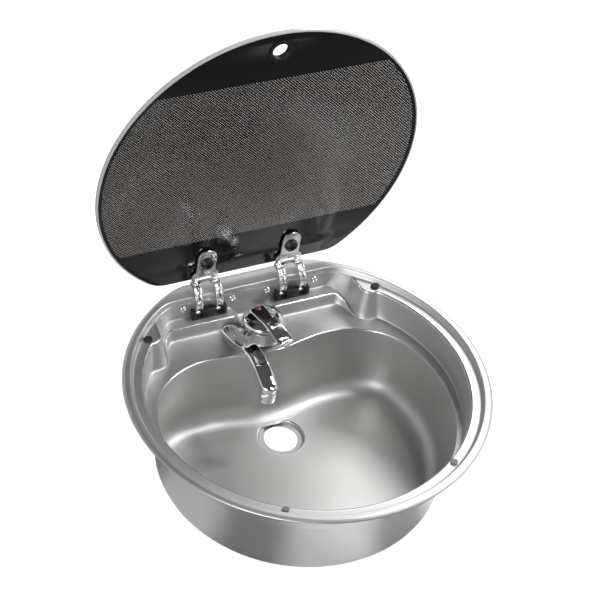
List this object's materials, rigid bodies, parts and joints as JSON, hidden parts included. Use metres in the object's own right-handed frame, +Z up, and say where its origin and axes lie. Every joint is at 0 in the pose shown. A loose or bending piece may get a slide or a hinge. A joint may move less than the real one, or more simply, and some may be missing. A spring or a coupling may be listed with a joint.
{
  "type": "round drop-in sink with glass lid",
  "caption": "Round stainless drop-in sink for a motor home, with a hinged dark glass lid on goose-neck arms and a low lever mixer tap that stows under the closed lid.",
  "frame": {"origin": "centre of the round rim, on the worktop's surface that the rim lies on", "axes": "+Z up, +Y towards the hinge side of the lid, +X along the hinge axis to the right"},
  "size_m": [0.4196, 0.4035, 0.5107],
  "materials": {
    "satin_steel": "pressed stainless sheet, satin",
    "chrome": "polished chrome plate",
    "zinc_steel": "zinc plated steel",
    "black_glass": "toughened glass printed black underneath, with a clear dotted field",
    "black_plastic": "moulded, fine satin",
    "white_plastic": "moulded acetal",
    "black_rubber": "matt",
    "grey_rubber": "matt",
    "dark_foam": "closed-cell sealing strip",
    "mark_enamel": "enamel disc, half red and half blue"
  },
  "bodies": {
    "basin": {"basin": "satin_steel", "tap_body": "chrome", "hinge_bracket_left": "zinc_steel", "hinge_bracket_right": "zinc_steel", "hinge_pin_left": "zinc_steel", "hinge_pin_right": "zinc_steel", "rivet_1": "zinc_steel", "rivet_2": "zinc_steel", "rivet_3": "zinc_steel", "rivet_4": "zinc_steel", "cartridge_nut": "zinc_steel", "tap_shank": "zinc_steel", "shank_washer": "zinc_steel", "shank_nut": "zinc_steel", "hinge_block_left": "black_plastic", "hinge_block_right": "black_plastic", "cartridge": "white_plastic", "bumper_rear_left": "black_rubber", "bumper_rear_right": "black_rubber", "tap_seal": "black_rubber", "shank_seal": "black_rubber", "bumper_front_left": "grey_rubber", "bumper_front_right": "grey_rubber", "rim_seal": "dark_foam"},
    "lid": {"lid_glass": "black_glass", "finger_ring": "black_plastic", "hinge_arm_left": "chrome", "hinge_arm_right": "chrome", "lid_bush_left": "black_rubber", "lid_bush_right": "black_rubber", "lid_screw_left": "black_plastic", "lid_screw_right": "black_plastic", "lid_cap_left": "chrome", "lid_cap_right": "chrome"},
    "spout": {"spout": "chrome", "spout_bush": "white_plastic", "aerator_screen": "white_plastic", "aerator_sleeve": "chrome"},
    "lever_turn": {"cartridge_turret": "white_plastic", "cartridge_pin": "zinc_steel"},
    "lever": {"tap_lever": "chrome", "cartridge_stem": "zinc_steel", "temperature_mark": "mark_enamel"}
  },
  "joints": [
    {"name": "lid_hinge", "type": "hinge", "parent": "basin", "child": "lid", "pos_m": [0, 0.181, -0.0065], "axis": [1, 0, 0], "range_deg": [0, 84.6]},
    {"name": "spout_swivel", "type": "hinge", "parent": "basin", "child": "spout", "pos_m": [-0.037, 0.1356, -0.03], "axis": [0, 0, 1], "range_deg": [-45, 0]},
    {"name": "lever_turn", "type": "hinge", "parent": "basin", "child": "lever_turn", "pos_m": [0, 0.126, -0.022], "axis": [0, 0, 1], "range_deg": [-40, 40]},
    {"name": "lever_lift", "type": "hinge", "parent": "lever_turn", "child": "lever", "pos_m": [0, 0.126, -0.022], "axis": [-0.9659, -0.2588, 0], "range_deg": [0, 20]}
  ]
}
